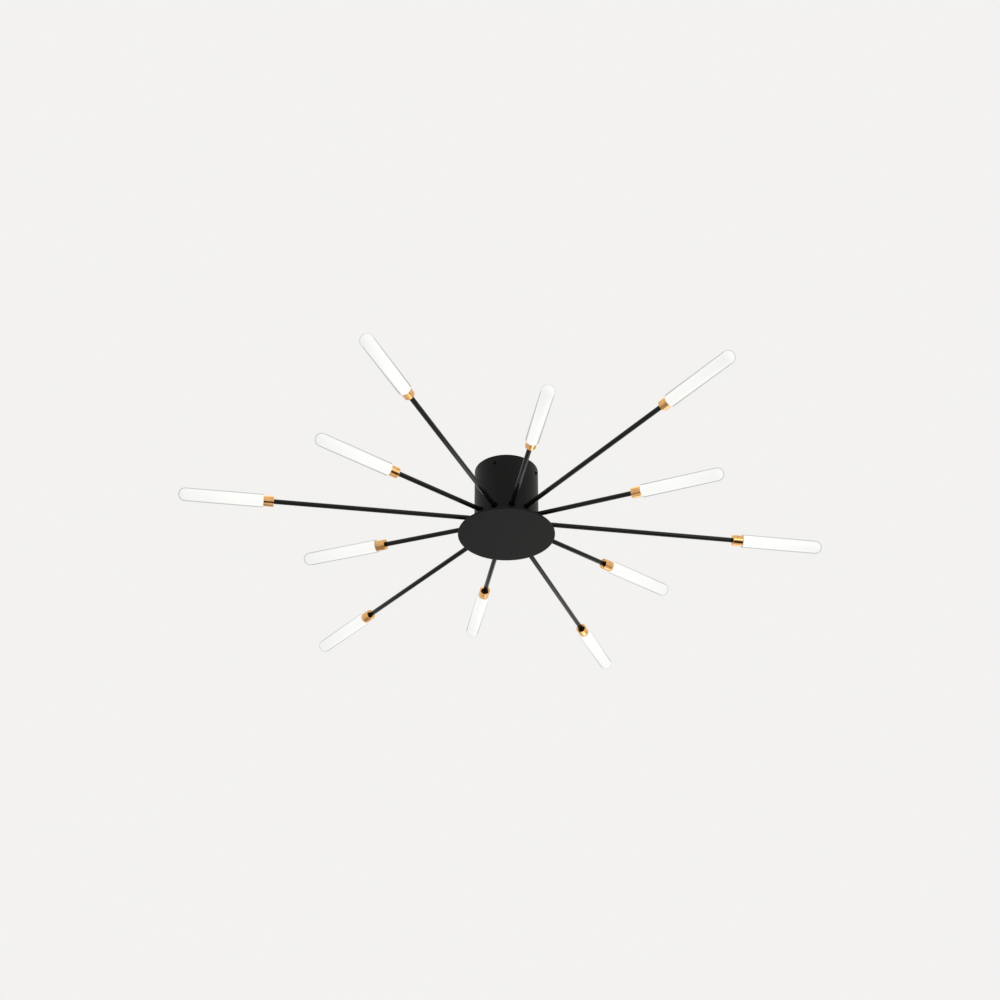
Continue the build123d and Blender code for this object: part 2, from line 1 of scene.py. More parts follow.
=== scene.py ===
"""Looks of a flush-mounted starburst ceiling light with twelve glowing rods.

The file is laid out as a Blender add-on and is run as a script. Metres, +Z up, in the frame of the
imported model: the origin is the middle of the ceiling face, and the light hangs below it.
"""

import json
from math import atan2, cos, degrees, radians, sin

import bmesh
import bpy
from bpy.props import FloatProperty, FloatVectorProperty, IntProperty, PointerProperty
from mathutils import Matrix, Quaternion, Vector


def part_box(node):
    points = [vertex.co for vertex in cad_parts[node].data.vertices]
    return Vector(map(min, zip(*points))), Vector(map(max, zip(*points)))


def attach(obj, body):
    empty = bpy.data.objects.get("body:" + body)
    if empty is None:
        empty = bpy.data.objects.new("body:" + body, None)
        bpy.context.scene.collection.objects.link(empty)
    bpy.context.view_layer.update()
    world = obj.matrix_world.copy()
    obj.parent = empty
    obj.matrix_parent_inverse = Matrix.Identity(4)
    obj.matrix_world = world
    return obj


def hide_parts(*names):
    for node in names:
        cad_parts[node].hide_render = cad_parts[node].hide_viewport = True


bl_info = {
    "name": "Starburst Ceiling Light",
    "version": (1, 0, 0),
    "blender": (4, 5, 0),
    "location": "3D View > Sidebar > Starburst",
    "description": "Models and finishes the pieces of a ceiling light with glowing rods",
    "category": "Object",
}

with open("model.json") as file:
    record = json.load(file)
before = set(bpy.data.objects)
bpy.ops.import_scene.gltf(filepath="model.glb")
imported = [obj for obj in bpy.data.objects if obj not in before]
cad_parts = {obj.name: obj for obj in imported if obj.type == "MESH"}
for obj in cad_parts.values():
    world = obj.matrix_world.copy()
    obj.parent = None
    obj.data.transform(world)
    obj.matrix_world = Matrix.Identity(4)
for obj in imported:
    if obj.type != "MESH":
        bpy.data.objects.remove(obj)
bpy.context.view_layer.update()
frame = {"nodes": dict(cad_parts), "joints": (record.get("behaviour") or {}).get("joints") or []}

MM = 0.001
NEAR = 0.02 * MM           # how closely a mesh point has to lie at a place to count as there
MERGE = 0.002 * MM         # points of a cut piece closer than this become one
UP = Vector((0, 0, 1))
SHARP_TURN = 30            # degrees between two faces past which their edge stays sharp

# Places read from the frame ------------------------------------------------------------------
HUB = sum(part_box("arm_hub"), Vector()) / 2
ARMS = {joint["child"].split("_")[1]: Vector(joint["axis"]) for joint in frame["joints"]}
FIRST = "01"


def along(node, axis):
    """Nearest and farthest point of a CAD node along an axis through the hub's centre."""
    distances = [(vertex.co - HUB).dot(axis) for vertex in frame["nodes"][node].data.vertices]
    return min(distances), max(distances)


def radii(node, axis, distance):
    """Smallest and largest radius of a CAD node round an axis, at one distance along it."""
    points = [vertex.co - HUB for vertex in frame["nodes"][node].data.vertices]
    found = [point.cross(axis).length for point in points if abs(point.dot(axis) - distance) < NEAR]
    return min(found), max(found)


ROD_MOUTH, ROD_TIP = along(f"diffuser_{FIRST}", ARMS[FIRST])
ROD_BORE, ROD_RADIUS = radii(f"diffuser_{FIRST}", ARMS[FIRST], ROD_MOUTH)
COLLAR_START, SPIGOT_END = along(f"ferrule_{FIRST}", ARMS[FIRST])
SPIGOT_BORE = radii(f"ferrule_{FIRST}", ARMS[FIRST], SPIGOT_END)[0]
COLLAR_RADIUS = radii(f"ferrule_{FIRST}", ARMS[FIRST], ROD_MOUTH)[1]
ARM_OUTER = along(f"arm_{FIRST}", ARMS[FIRST])[1]
ARM_BORE, ARM_RADIUS = radii(f"arm_{FIRST}", ARMS[FIRST], ARM_OUTER)

# Places of the canopy's holes, with azimuths in degrees anticlockwise from +X
SCREW_AZIMUTHS = (60, 150, 240, 330)
STUD_AZIMUTHS = (45, 135, 225, 315)
STUD_CIRCLE = 33 * MM


# Sizes and colours that a user would change ------------------------------------------------------
class RodSettings(bpy.types.PropertyGroup):
    """Sizes and glow of the frosted rods."""

    sides: IntProperty(name="Sides", description="Faces round a rod", default=96, min=24)
    lip: FloatProperty(
        name="Lip", description="Rounding of the edges at the mouth", default=0.25 * MM, unit="LENGTH")
    plastic: FloatVectorProperty(
        name="Plastic", description="Colour of the frosted plastic", default=(0.40, 0.40, 0.40),
        subtype="COLOR")
    glow: FloatVectorProperty(
        name="Glow", description="Light that leaves a rod near its ferrule", default=(0.615, 0.615, 0.597),
        subtype="COLOR")
    tip_glow: FloatVectorProperty(
        name="Glow at the tip", description="Light that leaves a rod at its tip",
        default=(0.54, 0.542, 0.531), subtype="COLOR")
    # Painted shade: the grey of a rod's outline where it is seen edge on
    outline_shade: FloatVectorProperty(
        name="Rim", description="Colour of the tube's wall seen edge on", default=(0.26, 0.26, 0.255),
        subtype="COLOR")


class MetalSettings(bpy.types.PropertyGroup):
    """Colours of the metal pieces that show."""

    satin: FloatVectorProperty(
        name="Canopy black", description="Colour of the powder coat", default=(0.0048, 0.0048, 0.0046),
        subtype="COLOR")
    arm: FloatVectorProperty(
        name="Arm black", description="Colour of the paint on the arms", default=(0.0055, 0.0055, 0.0052),
        subtype="COLOR")
    brass: FloatVectorProperty(
        name="Brass", description="Colour of the polished brass", default=(0.88, 0.50, 0.21),
        subtype="COLOR")
    brass_deep: FloatVectorProperty(
        name="Deep brass", description="Colour of the brass where its lacquer is thicker",
        default=(0.76, 0.40, 0.14), subtype="COLOR")


class StudioSettings(bpy.types.PropertyGroup):
    """Camera, lamps and backdrop."""

    distance: FloatProperty(
        name="Distance", description="Camera to the hub's centre", default=3.009, unit="LENGTH")
    azimuth: FloatProperty(
        name="Azimuth", description="Side that the camera stands on", default=radians(-8.83),
        subtype="ANGLE")
    elevation: FloatProperty(
        name="Elevation", description="Height of the camera above the arms, as an angle",
        default=radians(-32.96), subtype="ANGLE")
    roll: FloatProperty(
        name="Roll", description="Turn of the camera about its line of sight", default=radians(-0.09),
        subtype="ANGLE")
    lens: FloatProperty(name="Lens", description="Focal length in millimetres", default=65.12)
    aim_right: FloatProperty(
        name="Aim right",
        description="How far right of the picture's middle the hub's centre lies, in pixels",
        default=6.42)
    aim_down: FloatProperty(
        name="Aim down",
        description="How far below the picture's middle the hub's centre lies, in pixels",
        default=20.89)
    backdrop: FloatVectorProperty(
        name="Backdrop", description="Pale colour behind the light", default=(0.896, 0.888, 0.871),
        subtype="COLOR")
    floor_drop: FloatProperty(
        name="Floor", description="Ceiling to floor", default=3.4, unit="LENGTH")


GROUPS = {"light_rods": RodSettings, "light_metal": MetalSettings, "light_studio": StudioSettings}
PICTURE_SIDE = 1000        # pixels of the square picture
SENSOR_SIDE = 36           # millimetres of the camera's sensor


# Shader nodes --------------------------------------------------------------------------------------
class Wire:
    """A socket of a node tree. Python's operators on it add Math nodes."""

    def __init__(self, nodes, socket):
        self.nodes = nodes
        self.socket = socket

    def maths(self, operation, first, second=0.0):
        """One Math node on two values or links."""
        return self.nodes.add("ShaderNodeMath", {"operation": operation}, {0: first, 1: second})

    def __add__(self, other):
        return self.maths("ADD", self, other)

    def __radd__(self, other):
        return self.maths("ADD", other, self)

    def __sub__(self, other):
        return self.maths("SUBTRACT", self, other)

    def __rsub__(self, other):
        return self.maths("SUBTRACT", other, self)

    def __mul__(self, other):
        return self.maths("MULTIPLY", self, other)

    def __rmul__(self, other):
        return self.maths("MULTIPLY", other, self)

    def __truediv__(self, other):
        return self.maths("DIVIDE", self, other)

    def __pow__(self, other):
        return self.maths("POWER", self, other)

    def __mod__(self, other):
        return self.maths("FLOORED_MODULO", self, other)


class Nodes:
    """The node tree of one material or of the world."""

    def __init__(self, owner, output):
        owner.use_nodes = True
        self.tree = owner.node_tree
        self.tree.nodes.clear()
        self.output = self.tree.nodes.new(output)

    def add(self, kind, settings=None, sockets=None, result=0):
        """Adds one node: its settings first, then the values or links of its sockets."""
        node = self.tree.nodes.new(kind)
        for name, value in (settings or {}).items():
            setattr(node, name, value)
        for name, value in (sockets or {}).items():
            if isinstance(value, Wire):
                self.tree.links.new(value.socket, node.inputs[name])
            else:
                node.inputs[name].default_value = value
        return Wire(self, node.outputs[result])

    def finish(self, shader):
        """Links the last shader to the output."""
        self.tree.links.new(shader.socket, self.output.inputs["Surface"])

    def place(self):
        """The point of the piece, in metres in the model's frame."""
        return self.add("ShaderNodeTexCoord", result="Object")

    def offset(self):
        """The way from the hub's centre to a point."""
        return self.add("ShaderNodeVectorMath", {"operation": "SUBTRACT"}, {0: self.place(), 1: HUB})

    def from_hub(self):
        """Distance from the hub's centre, which runs lengthwise on every arm."""
        return self.add("ShaderNodeVectorMath", {"operation": "LENGTH"}, {0: self.offset()}, "Value")

    def outwards(self):
        """Direction from the hub's centre, which is that of the arm or rod that a point lies on."""
        return self.add("ShaderNodeVectorMath", {"operation": "NORMALIZE"}, {0: self.offset()})

    def turned_away(self, normal=None):
        """How far a surface, or a direction in its place, is turned from the view: 0 to 1."""
        sockets = {"Blend": 0.5}
        if normal:
            sockets["Normal"] = normal
        return self.add("ShaderNodeLayerWeight", {}, sockets, "Facing")

    def noise(self, size, detail=2.0):
        """Soft random values around 0.5, with patches of about one size in metres."""
        return self.add("ShaderNodeTexNoise", {}, {
            "Vector": self.place(), "Scale": 1 / size, "Detail": detail})

    def rings(self, size):
        """Random values that change only along an arm."""
        return self.add("ShaderNodeTexNoise", {"noise_dimensions": "1D"}, {
            "W": self.from_hub(), "Scale": 1 / size, "Detail": 2.0})

    def stretch(self, value, low, high):
        """A value from low to high made to run from 0 to 1."""
        return self.add("ShaderNodeMapRange", {}, {"Value": value, "From Min": low, "From Max": high})

    def blend(self, factor, first, second):
        """A colour between two."""
        return self.add("ShaderNodeMix", {"data_type": "RGBA"}, {
            "Factor": factor, 6: (*first, 1), 7: (*second, 1)}, 2)

    def bump(self, height, depth):
        """A surface that rises by a depth in metres where the height is 1."""
        return self.add("ShaderNodeBump", {}, {"Height": height, "Strength": 1.0, "Distance": depth})

    def principled(self, sockets):
        """The shader of every finish."""
        return self.add("ShaderNodeBsdfPrincipled", {}, sockets)


def tint(colour, share):
    """A colour made lighter or darker."""
    return [channel * share for channel in colour]


# Finishes, one function each ---------------------------------------------------------------------
def black_satin(nodes):
    """Powder coat on the canopy and the disc: faint orange peel, and a sheen that drifts."""
    colour = bpy.context.scene.light_metal.satin
    drift = nodes.noise(70 * MM)
    peel = nodes.noise(1.4 * MM, 1.0)
    nodes.finish(nodes.principled({
        "Base Color": nodes.blend(nodes.stretch(drift, 0.3, 0.7), tint(colour, 0.85), tint(colour, 1.2)),
        "Roughness": 0.38 + 0.12 * drift,
        "Specular IOR Level": 0.10,
        "Normal": nodes.bump(peel, 0.02 * MM)}))


def arm_black(nodes):
    """Sprayed paint on drawn tube: smoother than the coat, with faint lengthwise change of sheen."""
    colour = bpy.context.scene.light_metal.arm
    drift = nodes.noise(25 * MM)
    grain = nodes.noise(0.8 * MM, 1.0)
    nodes.finish(nodes.principled({
        "Base Color": nodes.blend(nodes.stretch(drift, 0.3, 0.7), tint(colour, 0.8), tint(colour, 1.25)),
        "Roughness": 0.14 + 0.10 * drift,
        "Specular IOR Level": 0.22,
        "Normal": nodes.bump(grain, 0.008 * MM)}))


def polished_brass(nodes):
    """Turned, polished and lacquered brass: fine lathe rings and a slightly uneven lacquer."""
    metal = bpy.context.scene.light_metal
    turning = nodes.rings(0.12 * MM)
    lacquer = nodes.noise(6 * MM)
    nodes.finish(nodes.principled({
        "Base Color": nodes.blend(nodes.stretch(lacquer, 0.35, 0.65), metal.brass_deep, metal.brass),
        "Metallic": 1.0,
        "Roughness": 0.07 + 0.06 * lacquer + 0.03 * turning,
        "Normal": nodes.bump(turning, 0.0015 * MM)}))


def frosted_glow(nodes):
    """Frosted plastic lit from inside: greyer towards the tip, with a painted shade of grey at the outline
    where a rod is seen edge on.
    """
    rods = bpy.context.scene.light_rods
    share = nodes.add("ShaderNodeAttribute", {"attribute_name": "along"}, {}, "Fac")
    frost = nodes.noise(0.5 * MM, 1.0)
    cloud = nodes.noise(18 * MM)
    fade = nodes.stretch(share + 0.12 * (cloud - 0.5), 0.35, 0.95)
    lit = nodes.principled({
        "Base Color": nodes.blend(cloud, tint(rods.plastic, 0.97), tint(rods.plastic, 1.03)),
        "Roughness": 0.42 + 0.10 * frost,
        "Emission Color": nodes.blend(fade, rods.glow, rods.tip_glow),
        "Emission Strength": 1.0,
        "Specular IOR Level": 0.3,
        "Normal": nodes.bump(frost, 0.01 * MM)})
    # Painted shade: a grey, dimly glowing outline, mixed in below where a rod is seen edge on
    wall = nodes.principled({
        "Base Color": (*rods.outline_shade, 1),
        "Roughness": 0.3 + 0.1 * frost,
        "Emission Color": nodes.blend(fade, tint(rods.glow, 0.32), tint(rods.tip_glow, 0.38)),
        "Emission Strength": 1.0,
        "Specular IOR Level": 0.05})
    square_on = 1 - nodes.turned_away()
    end_on = 1 - nodes.turned_away(nodes.outwards())
    sideways = (1.01 - end_on * end_on) ** 0.5
    # Share of the painted outline shade: it rises where the rod is seen edge on
    edge = nodes.stretch(square_on / sideways, 0.58, 0.36)
    nodes.finish(nodes.add("ShaderNodeMixShader", {}, {0: edge, 1: lit, 2: wall}))


def zinc_plate(nodes):
    """Galvanised sheet: grey flakes of zinc with edges that catch the light."""
    flakes = nodes.add("ShaderNodeTexVoronoi", {}, {
        "Vector": nodes.place(), "Scale": 1 / (5 * MM)}, "Distance")
    smear = nodes.noise(20 * MM)
    nodes.finish(nodes.principled({
        "Base Color": nodes.blend(flakes, (0.36, 0.37, 0.38), (0.50, 0.51, 0.52)),
        "Metallic": 1.0,
        "Roughness": 0.34 + 0.16 * smear + 0.06 * flakes,
        "Normal": nodes.bump(flakes, 0.004 * MM)}))


def zinc_screws(nodes):
    """Bright zinc plating on turned fasteners, a little blue where it is thick."""
    film = nodes.noise(3 * MM)
    turning = nodes.noise(0.3 * MM)
    nodes.finish(nodes.principled({
        "Base Color": nodes.blend(film, (0.58, 0.60, 0.64), (0.70, 0.70, 0.69)),
        "Metallic": 1.0,
        "Roughness": 0.24 + 0.10 * turning,
        "Normal": nodes.bump(turning, 0.004 * MM)}))


def black_screws(nodes):
    """Blackened steel, darker than the powder coat, with worn high spots."""
    wear = nodes.stretch(nodes.noise(1.2 * MM), 0.55, 0.75)
    nodes.finish(nodes.principled({
        "Base Color": nodes.blend(wear, (0.002, 0.002, 0.002), (0.006, 0.006, 0.0055)),
        "Roughness": 0.55 - 0.10 * wear,
        "Specular IOR Level": 0.04,
        "Normal": nodes.bump(wear, 0.005 * MM)}))


def brass_screws(nodes):
    """Plain brass with a dull film."""
    film = nodes.noise(1.5 * MM)
    nodes.finish(nodes.principled({
        "Base Color": nodes.blend(film, (0.58, 0.38, 0.14), (0.74, 0.52, 0.22)),
        "Metallic": 1.0,
        "Roughness": 0.28 + 0.14 * film,
        "Normal": nodes.bump(film, 0.01 * MM)}))


def cast_alloy(nodes):
    """Die-cast alloy: dull grey skin with fine pits."""
    skin = nodes.noise(10 * MM)
    pits = nodes.stretch(nodes.noise(0.9 * MM), 0.35, 0.6)
    nodes.finish(nodes.principled({
        "Base Color": nodes.blend(skin, (0.36, 0.36, 0.37), (0.50, 0.50, 0.50)),
        "Metallic": 0.9,
        "Roughness": 0.55 - 0.12 * pits,
        "Normal": nodes.bump(pits, 0.03 * MM)}))


def moulded(nodes, dark, light, texture, roughness):
    """Moulded plastic: two close tones, a fine spark texture, and its roughness."""
    tone = nodes.noise(15 * MM)
    spark = nodes.noise(texture, 1.0)
    nodes.finish(nodes.principled({
        "Base Color": nodes.blend(tone, dark, light),
        "Roughness": roughness + 0.12 * (spark - 0.5),
        "Specular IOR Level": 0.45,
        "Normal": nodes.bump(spark, 0.02 * MM)}))


def driver_plastic(nodes):
    """Pale grey case of the driver."""
    moulded(nodes, (0.60, 0.60, 0.58), (0.68, 0.68, 0.66), 0.5 * MM, 0.5)


def white_plastic(nodes):
    """White nylon of terminals and holders."""
    moulded(nodes, (0.70, 0.69, 0.65), (0.78, 0.77, 0.73), 0.4 * MM, 0.42)


def black_rubber(nodes):
    """Rubber of the cable bush, with a pale bloom."""
    moulded(nodes, (0.018, 0.018, 0.018), (0.040, 0.039, 0.037), 0.7 * MM, 0.72)


def lead_insulation(nodes):
    """Red-brown insulation of the inner leads."""
    moulded(nodes, (0.34, 0.050, 0.030), (0.42, 0.070, 0.040), 0.6 * MM, 0.46)


def board(nodes, mask, track):
    """Solder mask over copper tracks, which stand out a little and shade the colour."""
    cells = nodes.add("ShaderNodeTexVoronoi", {"distance": "CHEBYCHEV"}, {
        "Vector": nodes.place(), "Scale": 1 / (3 * MM)}, "Distance")
    tracks = nodes.stretch(cells, 0.28, 0.34)
    nodes.finish(nodes.principled({
        "Base Color": nodes.blend(tracks, mask, track),
        "Roughness": 0.30 + 0.12 * tracks,
        "Normal": nodes.bump(tracks, 0.03 * MM)}))


def board_green(nodes):
    """Green distribution board."""
    board(nodes, (0.010, 0.110, 0.040), (0.020, 0.170, 0.065))


def board_white(nodes):
    """White boards of the light sources."""
    board(nodes, (0.72, 0.72, 0.69), (0.64, 0.65, 0.63))


def led_phosphor(nodes):
    """Row of small chips under yellow phosphor, which glow."""
    pitch = 3 * MM
    step = (nodes.from_hub() % pitch) / pitch
    chip = nodes.stretch(1 - 2 * abs_of(step - 0.5), 0.2, 0.6)
    nodes.finish(nodes.principled({
        "Base Color": nodes.blend(chip, (0.80, 0.62, 0.16), (0.86, 0.76, 0.34)),
        "Roughness": 0.38 + 0.1 * chip,
        "Emission Color": nodes.blend(chip, (0.62, 0.50, 0.24), (1.0, 0.95, 0.82)),
        "Emission Strength": 1.2}))


def abs_of(value):
    """The size of a value without its sign."""
    return value.maths("ABSOLUTE", value)


FINISHES = {finish.__name__: finish for finish in (
    black_satin, arm_black, polished_brass, frosted_glow, zinc_plate, zinc_screws, black_screws,
    brass_screws, cast_alloy, driver_plastic, white_plastic, black_rubber, board_green, board_white,
    led_phosphor, lead_insulation)}


def material_for(slot):
    """The finished material of one slot of the record, made when it is first asked for."""
    name = f"finish_{slot}"
    material = bpy.data.materials.get(name)
    if material is None:
        material = bpy.data.materials.new(name)
        FINISHES[slot](Nodes(material, "ShaderNodeOutputMaterial"))
    return material


# Modelling helpers -------------------------------------------------------------------------------
def deselect():
    """Leaves nothing selected, because an operator acts on all that is."""
    bpy.ops.object.select_all(action="DESELECT")


def take(piece):
    """Makes one piece the only one that is selected, and the active one."""
    deselect()
    piece.select_set(True)
    bpy.context.view_layer.objects.active = piece


def edit(piece):
    """Starts editing one piece's mesh."""
    take(piece)
    bpy.ops.object.mode_set(mode="EDIT")


def leave():
    """Stops editing."""
    bpy.ops.object.mode_set(mode="OBJECT")


def pick(piece, kind, test):
    """Selects only the faces or edges that pass a test, while the piece is edited."""
    bpy.ops.mesh.select_mode(type=kind)
    bpy.ops.mesh.select_all(action="DESELECT")
    mesh = bmesh.from_edit_mesh(piece.data)
    parts = mesh.faces if kind == "FACE" else mesh.edges
    chosen = [part for part in parts if test(part)]
    if not chosen:
        raise RuntimeError(f"nothing of {piece.name} was picked")
    for part in chosen:
        part.select_set(True)
    mesh.select_flush_mode()
    bmesh.update_edit_mesh(piece.data)


def flat_at(height, facing):
    """Test for a face square to Z at a height that faces up (1) or down (-1)."""
    return lambda face: face.normal.z * facing > 0.99 and abs(face.calc_center_median().z - height) < NEAR


def ring_at(height, radius):
    """Test for an edge of the ring round Z at a height and a radius."""
    def test(edge):
        ends = [vertex.co for vertex in edge.verts]
        return all(abs(end.z - height) < NEAR and abs(end.xy.length - radius) < NEAR for end in ends)
    return test


def draw_out(distance):
    """Extrudes what is selected along Z."""
    bpy.ops.mesh.extrude_region_move(TRANSFORM_OT_translate={"value": (0, 0, distance)})


def round_off(piece, height, radius, offset, segments=3):
    """Bevels the ring of edges at a height and a radius."""
    pick(piece, "EDGE", ring_at(height, radius))
    bpy.ops.mesh.bevel(offset=offset, segments=segments, affect="EDGES")


def modify(piece, kind, **settings):
    """Adds a modifier to a piece and applies it."""
    take(piece)
    modifier = piece.modifiers.new(kind.title(), kind)
    for name, value in settings.items():
        setattr(modifier, name, value)
    bpy.ops.object.modifier_apply(modifier=modifier.name)


def cut(piece, cutters):
    """Takes the cutters' shapes out of a piece, and joins points that the cut left together."""
    deselect()
    for cutter in cutters:
        cutter.select_set(True)
    bpy.context.view_layer.objects.active = cutters[0]
    if len(cutters) > 1:
        bpy.ops.object.join()
    tool = bpy.context.object
    modify(piece, "BOOLEAN", operation="DIFFERENCE", solver="EXACT", object=tool)
    bpy.data.objects.remove(tool)
    edit(piece)
    bpy.ops.mesh.select_all(action="SELECT")
    bpy.ops.mesh.remove_doubles(threshold=MERGE)
    leave()


def settle(piece):
    """Puts a piece's place into its mesh and smooths it, with sharp edges left sharp."""
    take(piece)
    bpy.ops.object.transform_apply(location=True, rotation=True, scale=True)
    bpy.ops.object.shade_smooth_by_angle(angle=radians(SHARP_TURN))


def copy_to(pattern, name, place, axis):
    """A copy of a piece modelled along +Z, with its own mesh, set at a place along an axis."""
    take(pattern)
    bpy.ops.object.duplicate(linked=False)
    piece = bpy.context.object
    piece.name = name
    piece.rotation_mode = "QUATERNION"
    piece.rotation_quaternion = axis.to_track_quat("Z", "Y")
    piece.location = place
    settle(piece)
    return piece


def hand_over(piece, body, slot, *nodes):
    """Gives a finished piece its material, its body and the CAD nodes that it stands for."""
    piece.data.materials.clear()
    piece.data.materials.append(material_for(slot))
    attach(piece, body)
    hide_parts(*nodes)


def outward(azimuth):
    """Level direction at an azimuth in degrees."""
    return Vector((cos(radians(azimuth)), sin(radians(azimuth)), 0))


# Operators ------------------------------------------------------------------------------------------
class LIGHT_OT_rods(bpy.types.Operator):
    """Model the twelve frosted rods: half a sphere drawn out into a tube"""

    bl_idname = "light.rods"
    bl_label = "Glowing Rods"

    def execute(self, context):
        rods = context.scene.light_rods
        length = ROD_TIP - ROD_MOUTH
        dome = length - ROD_RADIUS
        bpy.ops.mesh.primitive_uv_sphere_add(
            segments=rods.sides, ring_count=rods.sides // 2, radius=ROD_RADIUS, location=(0, 0, dome))
        pattern = context.object
        settle(pattern)
        edit(pattern)
        bpy.ops.mesh.select_all(action="SELECT")
        bpy.ops.mesh.bisect(plane_co=(0, 0, dome), plane_no=UP, clear_inner=True, threshold=NEAR)
        pick(pattern, "EDGE", ring_at(dome, ROD_RADIUS))
        draw_out(-dome)
        bpy.ops.mesh.select_all(action="SELECT")
        bpy.ops.mesh.normals_make_consistent(inside=False)
        leave()
        modify(pattern, "SOLIDIFY", thickness=ROD_RADIUS - ROD_BORE, offset=-1, use_even_offset=True)
        edit(pattern)
        for radius in (ROD_RADIUS, ROD_BORE):
            round_off(pattern, 0, radius, rods.lip)
        leave()
        share = pattern.data.attributes.new("along", "FLOAT", "POINT")
        share.data.foreach_set("value", [vertex.co.z / length for vertex in pattern.data.vertices])
        for number, axis in ARMS.items():
            mouth = along(f"diffuser_{number}", axis)[0]
            rod = copy_to(pattern, f"rod_{number}", HUB + axis * mouth, axis)
            hand_over(rod, f"rod_{number}", "frosted_glow", f"diffuser_{number}")
        bpy.data.objects.remove(pattern)
        return {"FINISHED"}


class LIGHT_OT_ferrules(bpy.types.Operator):
    """Model the twelve brass ferrules: a collar with a spigot for the rod and a socket for the arm"""

    bl_idname = "light.ferrules"
    bl_label = "Brass Ferrules"

    def execute(self, context):
        collar = ROD_MOUTH - COLLAR_START      # heights from the hub end: collar, spigot, arm's socket
        end = SPIGOT_END - COLLAR_START
        socket = ARM_OUTER - COLLAR_START
        floor = socket + 2 * MM
        gap = 0.05 * MM                        # radial room of the rod on the spigot, and of the arm
        spigot = ROD_BORE - gap
        arm_room = ARM_RADIUS + gap
        lead = 2.5 * MM                        # radius of the hole for the lead
        dish = 2 * MM                          # hollow of the hub end, inside its lip
        lip = 0.9 * MM
        hub_round = 0.8 * MM                   # bevels from the hub end to the spigot's end
        dish_round = 0.15 * MM
        mouth_round = 0.3 * MM
        spigot_round = 0.5 * MM
        bpy.ops.mesh.primitive_cylinder_add(
            vertices=96, radius=COLLAR_RADIUS, depth=collar, location=(0, 0, collar / 2))
        pattern = context.object
        settle(pattern)
        edit(pattern)
        pick(pattern, "FACE", flat_at(collar, 1))
        bpy.ops.mesh.inset(thickness=COLLAR_RADIUS - spigot)
        draw_out(end - collar)
        bpy.ops.mesh.inset(thickness=spigot - SPIGOT_BORE)
        draw_out(floor - end)
        bpy.ops.mesh.inset(thickness=SPIGOT_BORE - lead)
        pick(pattern, "FACE", flat_at(0, -1))
        bpy.ops.mesh.inset(thickness=lip)
        bpy.ops.mesh.inset(thickness=COLLAR_RADIUS - lip - arm_room, depth=-dish)
        draw_out(socket - dish)
        bpy.ops.mesh.inset(thickness=arm_room - lead)
        pick(pattern, "FACE", lambda face: len(face.verts) > 4)
        bpy.ops.mesh.bridge_edge_loops()
        round_off(pattern, 0, COLLAR_RADIUS, hub_round, 5)
        round_off(pattern, dish, arm_room, dish_round, 2)
        round_off(pattern, collar, COLLAR_RADIUS, mouth_round, 3)
        round_off(pattern, end, spigot, spigot_round, 2)
        leave()
        for number, axis in ARMS.items():
            start = along(f"ferrule_{number}", axis)[0]
            ferrule = copy_to(pattern, f"brass_ferrule_{number}", HUB + axis * start, axis)
            hand_over(ferrule, "fixture", "polished_brass", f"ferrule_{number}")
        bpy.data.objects.remove(pattern)
        return {"FINISHED"}


def arm_tube(inner, outer):
    """A tube along +Z from one height to another, with its bore and broken edges."""
    bpy.ops.mesh.primitive_cylinder_add(
        vertices=64, radius=ARM_RADIUS, depth=outer - inner, end_fill_type="NOTHING",
        location=(0, 0, (outer + inner) / 2))
    tube = bpy.context.object
    settle(tube)
    modify(tube, "SOLIDIFY", thickness=ARM_RADIUS - ARM_BORE, offset=-1, use_even_offset=True)
    edge_break = 0.15 * MM
    edit(tube)
    for height in (inner, outer):
        for radius in (ARM_RADIUS, ARM_BORE):
            round_off(tube, height, radius, edge_break, 2)
    leave()
    return tube


class LIGHT_OT_arms(bpy.types.Operator):
    """Model the twelve arms: drawn tube of two lengths"""

    bl_idname = "light.arms"
    bl_label = "Arms"

    def execute(self, context):
        patterns = {}
        for number, axis in ARMS.items():
            is_long = int(number) % 2
            if is_long not in patterns:
                patterns[is_long] = arm_tube(*along(f"arm_{number}", axis))
            arm = copy_to(patterns[is_long], f"black_arm_{number}", HUB, axis)
            hand_over(arm, "fixture", "arm_black", f"arm_{number}")
        for pattern in patterns.values():
            bpy.data.objects.remove(pattern)
        return {"FINISHED"}


class LIGHT_OT_canopy(bpy.types.Operator):
    """Model the canopy: a deep steel cup with a hole for each arm, side screw and stud"""

    bl_idname = "light.canopy"
    bl_label = "Canopy"

    def execute(self, context):
        low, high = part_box("canopy")
        radius = (high.x - low.x) / 2
        depth = high.z - low.z
        wall = 1.2 * MM
        edge = 1.0 * MM
        arm_hole = 5.5 * MM                    # radii of the holes for arms, side screws and studs
        screw_hole = 1.7 * MM
        stud_hole = 2.25 * MM
        across = 8 * MM                        # lengths of the drills
        through = 6 * MM
        bpy.ops.mesh.primitive_cylinder_add(
            vertices=240, radius=radius, depth=depth, location=(0, 0, (low.z + high.z) / 2))
        canopy = context.object
        canopy.name = "canopy_cup"
        settle(canopy)
        edit(canopy)
        pick(canopy, "FACE", flat_at(high.z, 1))
        bpy.ops.mesh.delete(type="ONLY_FACE")
        round_off(canopy, low.z, radius, edge, 5)
        leave()
        modify(canopy, "SOLIDIFY", thickness=wall, offset=-1, use_even_offset=True)
        cutters = []
        for axis in ARMS.values():
            cutters.append(drill(arm_hole, across, HUB + axis * (radius - wall / 2), axis))
        screw_height = sum(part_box("canopy_screws"), Vector()).z / 2
        for azimuth in SCREW_AZIMUTHS:
            place = outward(azimuth) * radius + UP * screw_height
            cutters.append(drill(screw_hole, through, place, outward(azimuth)))
        for azimuth in STUD_AZIMUTHS:
            place = outward(azimuth) * STUD_CIRCLE + UP * low.z
            cutters.append(drill(stud_hole, through, place, UP))
        cut(canopy, cutters)
        settle(canopy)
        hand_over(canopy, "fixture", "black_satin", "canopy")
        return {"FINISHED"}


